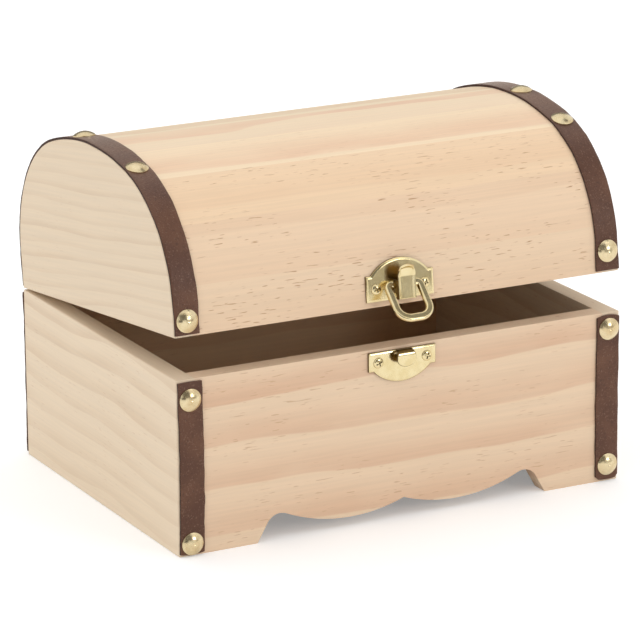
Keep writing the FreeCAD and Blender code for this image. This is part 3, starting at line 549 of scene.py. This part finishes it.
# Painted shade: a dull dark brass for the cut edges, backs and undersides of the catch pieces,
# standing in for the shadow and dark reflections there.
catch_shade_dull = paint(126, 102, 60)
catch_shade_dark = paint(100, 80, 46)
catch_brass = brass("catch_brass", catch_pale, catch_warm, polish=0.16, dents=0.00006)
catch_painted_shade = brass("catch_painted_shade_brass", catch_shade_dull, catch_shade_dark, polish=0.42, dents=0.00006)
catch_middle = -0.0011
plate_width = 0.0302
plate_thick = 0.0012
plate_round = 0.00012
hook_rim = 0.0008
hook_rim_drop = 0.00035
arch_width = 0.0256
arch_points = 27
front_face = -0.146
hook_plate_top = 0.0709
hook_ears = 0.0079
hook_arch = 0.0055
screw_reach = 0.0109
hook_screw_drop = 0.0043
tongue_width = 0.0085
tongue_neck = 0.0070
tongue_sheet = 0.0008
tongue_bend = 0.00185
bend_drop = 0.0019
tongue_length = 0.0045
tongue_tip = 0.0034
tongue_end = 0.985
tongue_round = 0.00036
tongue_columns = 12
tongue_steps = 3
bend_steps = 18
# This limit is high enough that the rounded rim of the tongue takes the painted shade, as a dark
# outline.
hook_turned_away = 0.9


def stamped_plate(ears, arch, face, edge, rim, drop):
    """A plate with square ears and one arched side, its outline pressed to a sloping rim.
    The arch rises above the ears where ears is positive, and hangs below where it is negative."""
    begin()
    bpy.ops.mesh.primitive_plane_add(size=1.0)
    piece = bpy.context.object
    piece.scale = (plate_width, abs(ears), 1.0)
    piece.rotation_euler.x = math.pi / 2
    piece.location = (catch_middle, face, edge + ears / 2)
    settle()
    shoulder = edge + ears
    bpy.ops.object.mode_set(mode="EDIT")
    pick("edges", lambda middle: abs(middle.z - shoulder) < near)
    bpy.ops.mesh.subdivide(number_cuts=arch_points)
    bpy.ops.object.mode_set(mode="OBJECT")
    crest = sorted((point for point in piece.data.vertices if abs(point.co.z - shoulder) < near),
                   key=lambda point: point.co.x)[1:-1]
    half = arch_width / 2
    radius = (half * half + arch * arch) / (2 * arch)
    sign = math.copysign(1.0, ears)
    for number, point in enumerate(crest):
        across = half * (2 * number / (arch_points - 1) - 1)
        rise = math.sqrt(radius * radius - across * across) - radius + arch
        point.co.x = catch_middle + across
        point.co.z = shoulder + sign * rise
    bpy.ops.object.mode_set(mode="EDIT")
    bpy.ops.mesh.select_all(action="SELECT")
    bpy.ops.mesh.extrude_region_move(TRANSFORM_OT_translate={"value": (0, drop - plate_thick, 0)})
    bpy.ops.mesh.inset(thickness=rim, depth=0)
    bpy.ops.transform.translate(value=(0, -drop, 0))
    bpy.ops.mesh.select_all(action="SELECT")
    bpy.ops.mesh.normals_make_consistent(inside=False)
    bpy.ops.object.mode_set(mode="OBJECT")
    round_edges(piece, plate_round, steps=2, over=10)
    return piece


def folded_tongue():
    """The tongue, bent over a half turn and rounded at its free end."""
    bend_height = hook_plate_top - bend_drop
    bend_out = front_face - plate_thick - (tongue_bend - tongue_sheet / 2)
    begin()
    bpy.ops.mesh.primitive_plane_add(size=1.0)
    piece = bpy.context.object
    piece.scale = (tongue_width, tongue_sheet, 1.0)
    piece.location = (catch_middle, bend_out + tongue_bend, bend_height)
    settle()
    bpy.ops.object.mode_set(mode="EDIT")
    pick("edges", lambda middle: abs(middle.x - catch_middle) < near)
    bpy.ops.mesh.subdivide(number_cuts=tongue_columns - 1)
    bpy.ops.mesh.select_all(action="SELECT")
    bpy.ops.mesh.spin(steps=bend_steps, angle=math.pi, axis=(-1, 0, 0),
                      center=(catch_middle, bend_out, bend_height))
    for step in range(tongue_steps):
        bpy.ops.mesh.extrude_region_move(
            TRANSFORM_OT_translate={"value": (0, 0, -tongue_length / tongue_steps)})
    bpy.ops.mesh.select_all(action="SELECT")
    bpy.ops.mesh.remove_doubles(threshold=weld)
    bpy.ops.mesh.normals_make_consistent(inside=False)
    bpy.ops.object.mode_set(mode="OBJECT")
    for point in piece.data.vertices:
        side = (point.co.x - catch_middle) / (tongue_width / 2)
        down = max(0.0, bend_height - point.co.z) / tongue_length
        point.co.z += down * tongue_tip * (1 - math.sqrt(1 - (tongue_end * side) ** 2))
        into_neck = max(0.0, point.co.z - bend_height) / tongue_bend
        width = 1 - (1 - tongue_neck / tongue_width) * min(1.0, into_neck)
        point.co.x = catch_middle + (point.co.x - catch_middle) * width
    round_edges(piece, tongue_round, steps=4, over=45)
    return piece


def join(pieces, name):
    """Makes one named piece of several."""
    begin()
    for piece in pieces:
        piece.select_set(True)
    bpy.context.view_layer.objects.active = pieces[0]
    bpy.ops.object.join()
    bpy.context.object.name = name
    return bpy.context.object


def finish_catch(piece, node, body, facing=None, turned_away=0.3):
    """Plates a piece, and paints shade on the cut edges and the back of one whose front faces a
    given way.
    """
    piece.data.materials.clear()
    piece.data.materials.append(catch_brass)
    piece.data.materials.append(catch_painted_shade)
    for face in piece.data.polygons:
        shaded = facing is not None and face.normal.dot(facing) < turned_away
        face.material_index = 1 if shaded else 0
    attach(piece, body)
    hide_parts(node)


hook_sheet = stamped_plate(-hook_ears, hook_arch, front_face, hook_plate_top, hook_rim,
                           hook_rim_drop)
hook_piece = join([hook_sheet, folded_tongue()], "hook_plate_brass")
finish_catch(hook_piece, "hook_plate", "base", Vector((0, -1, 0)), hook_turned_away)
screws("hook_plate_screws",
       [Matrix.Translation((catch_middle + side * screw_reach, front_face - plate_thick,
                            hook_plate_top - hook_screw_drop)) @ facing_front for side in (-1, 1)],
       "base", catch_brass)

# Lid ends. Two pine boards sawn to the lid's rounded section, with the grain running front to back
# in thin bands that rise a little to the front. The staves are glued between them.
lid_end_pale = paint(231, 211, 184)
end_lean = lid_open + math.radians(2.8)


def down_lid_end(tree, spot):
    """Distance down the board, square to its leaning grain."""
    parts = put(tree, "SeparateXYZ", Vector=spot).outputs
    level = sum_of(tree, "MULTIPLY", parts["Y"], -math.sin(end_lean))
    return sum_of(tree, "MULTIPLY_ADD", parts["Z"], -math.cos(end_lean), level)


lid_end_pine = pine("lid_end_pine", (axis("Y"), down_lid_end, axis("X")), lid_end_pale, end_band,
                    pitch=0.0058, shift=0.1, waver=1.5, start=0.45, bands=0.65, flecks=0.15)
for name in ("lid_left_end", "lid_right_end"):
    finish_node(name, lid_end_pine)

# Lid staves. Ten pine staves glued edge to edge between the ends and sanded round. The lower front
# ones are pinkish and well flecked, the fourth is pinker still, the fifth fades into the crown,
# and the crown and the back are pale.
front_curve_y = -0.091669
front_curve_z = 0.094005
front_curve_radius = 0.0525
front_flank = 0.011


def round_lid(tree, spot):
    """Distance round the lid's section from its front edge, counted downwards."""
    parts = put(tree, "SeparateXYZ", Vector=spot).outputs
    outward = sum_of(tree, "SUBTRACT", front_curve_y, parts["Y"])
    upward = sum_of(tree, "SUBTRACT", parts["Z"], front_curve_z)
    turn = sum_of(tree, "SUBTRACT", sum_of(tree, "ARCTAN2", upward, outward), lid_open)
    return sum_of(tree, "MULTIPLY_ADD", turn, -front_curve_radius, -front_flank)


stave_looks = {  # pale, band, pitch, shift, waver, start, bands, flecks
    "low": (paint(236, 208, 177), paint(227, 192, 159), 0.023, 0.85, 0.5, 0.1, 0.7, 1.1),
    "middle": (paint(237, 208, 177), paint(226, 190, 157), 0.023, 0.62, 0.5, 0.1, 0.7, 1.3),
    "upper": (paint(239, 209, 175), paint(229, 191, 156), 0.021, 0.35, 0.5, 0.1, 0.7, 0.9),
    "shoulder": (paint(243, 219, 187), paint(228, 186, 155), 0.030, 2.345, 0.14, 0.25, 1.25, 0.3),
    "flame": (paint(240, 217, 187), paint(230, 191, 161), 0.024, 0.25, 1.3, 0.15, 1.0, 0.1),
    "crown": (paint(238, 218, 189), paint(224, 194, 160), 0.026, 0.4, 0.8, 0.2, 0.9, 0.1),
}
stave_pines = {
    look: pine("stave_pine_" + look, (axis("X"), round_lid, axis("Y")), *values)
    for look, values in stave_looks.items()}
stave_order = ("low", "middle", "upper", "shoulder", "flame") + 5 * ("crown",)
for number, look in enumerate(stave_order, start=1):
    finish_node("lid_stave_%02d" % number, stave_pines[look])

# Lid straps. The same leathercloth, one strip over each end joint of the lid, wrapped from the
# lower front edge over the crown to the lower back edge and held by five nails.
lid_front = -0.1481
lid_low = 0.00025
strap_gap = 0.0008
strap_width = 0.011
front_rise = 0.011
back_rise = 0.0163
front_steps = 5
back_steps = 7
lid_strap_out = 0.0945
lid_curves = (((-0.0956, 0.01125), 68.3777, 26), ((-0.0688847, -0.0561484), 34.2484, 28),
              ((-0.0526, 0.01655), 77.3739, 30))


def lid_strap(node, middle):
    """A strip that follows the lid's section, built on the shut lid and swung open with it."""
    begin()
    bpy.ops.mesh.primitive_plane_add(size=1.0)
    piece = bpy.context.object
    piece.name = node + "_cloth"
    piece.scale = (strap_width, strap_thick, 1.0)
    piece.location = (middle, lid_front - strap_thick / 2, lid_low + strap_gap)
    settle()
    bpy.ops.object.mode_set(mode="EDIT")
    pick("edges", lambda point: abs(point.x - middle) < near)
    bpy.ops.mesh.subdivide(number_cuts=strap_columns - 1)
    bpy.ops.mesh.select_all(action="SELECT")
    for step in range(front_steps):
        bpy.ops.mesh.extrude_region_move(
            TRANSFORM_OT_translate={"value": (0, 0, (front_rise - strap_gap) / front_steps)})
    for (out, height), turn, steps in lid_curves:
        bpy.ops.mesh.spin(steps=steps, angle=math.radians(turn), axis=(1, 0, 0),
                          center=(middle, out, height))
    for step in range(back_steps):
        bpy.ops.mesh.extrude_region_move(
            TRANSFORM_OT_translate={"value": (0, 0, (strap_gap - back_rise) / back_steps)})
    bpy.ops.mesh.select_all(action="SELECT")
    bpy.ops.mesh.remove_doubles(threshold=weld)
    bpy.ops.mesh.normals_make_consistent(inside=False)
    bpy.ops.object.mode_set(mode="OBJECT")
    waver_edges(piece, middle, strap_width / 2, middle * 1000)
    piece.matrix_world = lid_place
    settle()
    finish_strap(piece, node, "lid")


lid_strap("lid_strap_left", -lid_strap_out)
lid_strap("lid_strap_right", lid_strap_out)

# Brass nails of the lid. The same domed nails, five on each lid strap, driven through the cloth
# into the end boards.
finish_node("lid_nails", nail_brass)

# Catch plate. A stamped brass plate on the lid's front, arched at the top, with two lugs that
# carry the rivet of the lever, and a cross recess screw in each ear.
latch_low = 0.0023
latch_ears = 0.0105
latch_arch = 0.0061
latch_screw_rise = 0.0051
latch_rim = 0.0009
latch_rim_drop = 0.00036
lug_middle = 0.0023
lug_thick = 0.0008
lug_radius = 0.00115
lug_nose = 0.9
pivot_rise = 0.0044
pivot_out = 0.0042


def lug(side):
    """A flat ear standing out of the plate, with a round nose for the rivet."""
    begin()
    bpy.ops.mesh.primitive_cube_add(size=1.0)
    piece = bpy.context.object
    reach = pivot_out + lug_radius
    piece.scale = (lug_thick, reach, 2 * lug_radius)
    piece.location = (catch_middle + side * lug_middle, lid_front - reach / 2, lid_low + pivot_rise)
    settle()
    bpy.ops.object.mode_set(mode="EDIT")
    pick("edges", lambda middle: abs(middle.y - (lid_front - reach)) < near
         and abs(middle.x - catch_middle - side * lug_middle) < near)
    bpy.ops.mesh.bevel(offset=lug_nose * lug_radius, segments=5, affect="EDGES")
    bpy.ops.object.mode_set(mode="OBJECT")
    return piece


latch_sheet = stamped_plate(latch_ears, latch_arch, lid_front, lid_low + latch_low, latch_rim,
                            latch_rim_drop)
latch_piece = join([latch_sheet, lug(-1), lug(1)], "latch_plate_brass")
latch_piece.matrix_world = lid_place
settle()
finish_catch(latch_piece, "latch_plate", "lid", lid_place.to_3x3() @ Vector((0, -1, 0)))
screws("latch_plate_screws",
       [lid_place @ Matrix.Translation((catch_middle + side * screw_reach, lid_front - plate_thick,
                                        lid_low + latch_low + latch_screw_rise)) @ facing_front
        for side in (-1, 1)],
       "lid", catch_brass)

# Lever. A thumb lever pressed from brass sheet: a flat face between two raised edges, bent out at
# a crease into a dished, rounded tip, with a cheek folded back on each side for the rivet and
# the loop.
lever_half = 0.0038
lever_low = 0.0030
lever_top = 0.0167
lever_crease = 0.0122
lever_face = 0.0064
lever_tip = 0.0042
lever_flare = 0.0012
lever_edge = 0.0006
lever_dish = 0.0004
lever_sheet = 0.0008
lever_round = 0.00015
edge_start = 0.70
edge_full = 0.88
dish_full = 0.7
cheek_top = 0.0106
cheek_back = 0.0020


def step_up(value, low, high):
    """A smooth step from 0 to 1."""
    share = min(1.0, max(0.0, (value - low) / (high - low)))
    return share * share * (3 - 2 * share)


def thumb_lever():
    """The sheet of the lever, shaped from a flat grid, with its cheeks folded back."""
    begin()
    bpy.ops.mesh.primitive_grid_add(x_subdivisions=28, y_subdivisions=52, size=1.0)
    piece = bpy.context.object
    piece.rotation_euler.x = math.pi / 2
    settle()
    for point in piece.data.vertices:
        side = 2 * point.co.x
        along = point.co.z + 0.5
        straight = lever_top - lever_tip - lever_low
        run = along * (straight + lever_tip)
        into_tip = max(0.0, run - straight) / lever_tip
        rounding = lever_tip * into_tip * math.sqrt(1 - side * side / 2)
        height = lever_low + min(run, straight) + rounding
        across = lever_half * side * math.sqrt(1 - into_tip * into_tip / 2)
        bent = max(0.0, height - lever_crease) / (lever_top - lever_crease)
        nearness = max(abs(side), into_tip)
        out = lever_face + lever_flare * bent
        out += lever_edge * step_up(nearness, edge_start, edge_full)
        out -= lever_dish * (1 - nearness ** 2) * step_up(bent, 0.0, dish_full)
        point.co = Vector((catch_middle + across, lid_front - out, lid_low + height))
    bpy.ops.object.mode_set(mode="EDIT")
    pick("edges", lambda middle: abs(abs(middle.x - catch_middle) - lever_half) < near
         and middle.z < lid_low + cheek_top)
    bpy.ops.mesh.extrude_edges_move(
        TRANSFORM_OT_translate={"value": (0, lever_face - cheek_back, 0)})
    bpy.ops.mesh.select_all(action="SELECT")
    bpy.ops.mesh.normals_make_consistent(inside=False)
    bpy.ops.object.mode_set(mode="OBJECT")
    add_modifier(piece, "SOLIDIFY", thickness=lever_sheet, offset=-1.0)
    round_edges(piece, lever_round, steps=2, over=50)
    piece.name = "latch_lever_brass"
    piece.matrix_world = lid_place
    settle()
    return piece


finish_catch(thumb_lever(), "latch_lever", "lever", lid_place.to_3x3() @ Vector((0, -1, 0)))
finish_node("latch_lever_pin", catch_brass)

# Loop. A length of stout brass wire, pressed flat and bent to a rounded loop, its two ends sprung
# into the cheeks of the lever. It hangs down in front of the open mouth.
wire_radius = 0.00115
wire_swell = 0.00045
wire_thin = 0.00012
wire_square = 4.0
loop_tilt = math.radians(45.8)
loop_smooth = 50.0


def wire_loop():
    """The bent wire, pressed from a round section to a flat, squarish one."""
    begin()
    piece = nodes["latch_bail"].copy()
    piece.data = nodes["latch_bail"].data.copy()
    piece.name = "latch_bail_wire"
    piece.parent = None
    bpy.context.scene.collection.objects.link(piece)
    piece.select_set(True)
    bpy.context.view_layer.objects.active = piece
    bpy.ops.object.mode_set(mode="EDIT")
    bpy.ops.mesh.select_all(action="SELECT")
    bpy.ops.mesh.remove_doubles(threshold=weld)
    bpy.ops.object.mode_set(mode="OBJECT")
    level = Vector((0, math.cos(loop_tilt), -math.sin(loop_tilt)))
    outward = [point.normal.copy() for point in piece.data.vertices]
    for point, normal in zip(piece.data.vertices, outward):
        face = abs(normal.dot(level))
        flank = math.sqrt(max(0.0, 1 - face * face))
        corner = (face ** wire_square + flank ** wire_square) ** (-1 / wire_square) - 1
        point.co += normal * (wire_swell + wire_radius * corner)
        point.co -= level * normal.dot(level) * (wire_swell + wire_thin)
    bpy.ops.object.shade_smooth_by_angle(angle=math.radians(loop_smooth))
    return piece


finish_catch(wire_loop(), "latch_bail", "bail")

# Studio. A pale floor that fades to white, soft light from above and in front, grey and black
# cards out of view that give the brass its darker tones, and the camera.
scene = bpy.context.scene
scene.view_settings.view_transform = "Standard"


def shown_share(tree):
    """1 for what the camera, polished metal and clear pieces see, 0 for plain light."""
    path = put(tree, "LightPath").outputs
    seen = sum_of(tree, "MAXIMUM", path["Is Camera Ray"], path["Is Glossy Ray"])
    return sum_of(tree, "MAXIMUM", seen, path["Is Transmission Ray"])


air_level = 1.09
world = bpy.data.worlds.new("studio_air")
world.use_nodes = True
world_air = world.node_tree.nodes["Background"]
world_air.inputs["Color"].default_value = (1, 1, 1, 1)
fill(world.node_tree, world_air.inputs["Strength"],
     ease(world.node_tree, shown_share(world.node_tree), 0.0, 1.0, air_level, 1.0))
scene.world = world

floor_white = (0.86, 0.86, 0.86, 1)
floor_lift = 0.26
floor_size = 30.0
paper_roughness = 0.9
begin()
bpy.ops.mesh.primitive_plane_add(size=floor_size)
floor = bpy.context.object
floor.name = "studio_floor"
floor_paint, floor_tree, floor_shader = new_material("floor_white")
floor_shader.inputs["Base Color"].default_value = floor_white
floor_shader.inputs["Roughness"].default_value = paper_roughness
floor_shader.inputs["Emission Color"].default_value = (1, 1, 1, 1)
fill(floor_tree, floor_shader.inputs["Emission Strength"],
     sum_of(floor_tree, "MULTIPLY", shown_share(floor_tree), floor_lift))
floor.data.materials.append(floor_paint)

chest_middle = Vector((0.0, -0.073, 0.07))


def aimed(place, front):
    """Puts an object at a place with one of its axes towards the chest."""
    turn = (chest_middle - Vector(place)).to_track_quat(front, "Y")
    return Matrix.Translation(place) @ turn.to_matrix().to_4x4()


def studio_card(name, place, width, height, grey, shades=True):
    """A plain card that faces the chest. One that does not shade it shows in the brass alone."""
    begin()
    bpy.ops.mesh.primitive_plane_add(size=1.0)
    card = bpy.context.object
    card.name = name
    card.matrix_world = aimed(place, "Z") @ Matrix.Diagonal((width, height, 1, 1))
    settle()
    card_paint, _, card_shader = new_material(name + "_paint")
    card_shader.inputs["Base Color"].default_value = (grey, 0.96 * grey, 0.88 * grey, 1)
    card_shader.inputs["Roughness"].default_value = paper_roughness
    card.data.materials.append(card_paint)
    card.visible_camera = False
    card.visible_diffuse = shades
    card.visible_shadow = shades


studio_card("low_card", (0.32, -0.79, 0.101), width=0.7, height=0.20, grey=0.40, shades=False)
studio_card("left_card", (-0.60, -1.02, 0.121), width=0.44, height=0.24, grey=0.02, shades=False)
studio_card("front_wall", (0.1, -2.5, 1.4), width=4.2, height=2.0, grey=0.2)
studio_card("back_wall", (0.5, 1.7, 0.75), width=2.2, height=1.2, grey=0.25, shades=False)
studio_card("top_card", (0.62, -0.45, 1.2), width=0.5, height=0.5, grey=0.25)


def soft_lamp(name, place, width, height, power):
    """A softbox that faces the chest."""
    lamp = bpy.data.lights.new(name, "AREA")
    lamp.shape = "RECTANGLE"
    lamp.size = width
    lamp.size_y = height
    lamp.energy = power
    holder = bpy.data.objects.new(name, lamp)
    scene.collection.objects.link(holder)
    holder.matrix_world = aimed(place, "-Z")


soft_lamp("low_softbox", (0.85, -1.95, 0.72), width=0.6, height=0.5, power=7.0)
soft_lamp("front_softbox", (0.9, -1.6, 1.5), width=1.2, height=1.0, power=3.0)
soft_lamp("top_softbox", (-0.2, 0.1, 1.7), width=1.4, height=1.4, power=1.0)

view_azimuth = math.radians(-27.53)
view_elevation = math.radians(16.48)
view_roll = math.radians(-0.42)
view_distance = 1.6499
view_nudge_right = 0.00072
view_nudge_up = -0.00635
lens_length = 225.65

back = Vector((math.sin(view_azimuth) * math.cos(view_elevation),
               -math.cos(view_azimuth) * math.cos(view_elevation), math.sin(view_elevation)))
right = Vector((math.cos(view_azimuth), math.sin(view_azimuth), 0.0))
up = back.cross(right)
camera = bpy.data.objects.new("camera", bpy.data.cameras.new("camera"))
scene.collection.objects.link(camera)
camera.data.lens = lens_length
camera.data.sensor_width = 36.0
camera.data.clip_end = 20.0
turned_right = right * math.cos(view_roll) + up * math.sin(view_roll)
turned_up = up * math.cos(view_roll) - right * math.sin(view_roll)
camera_place = chest_middle + back * view_distance + right * view_nudge_right + up * view_nudge_up
camera_turn = Matrix((turned_right, turned_up, back)).transposed().to_4x4()
camera.matrix_world = Matrix.Translation(camera_place) @ camera_turn
scene.camera = camera
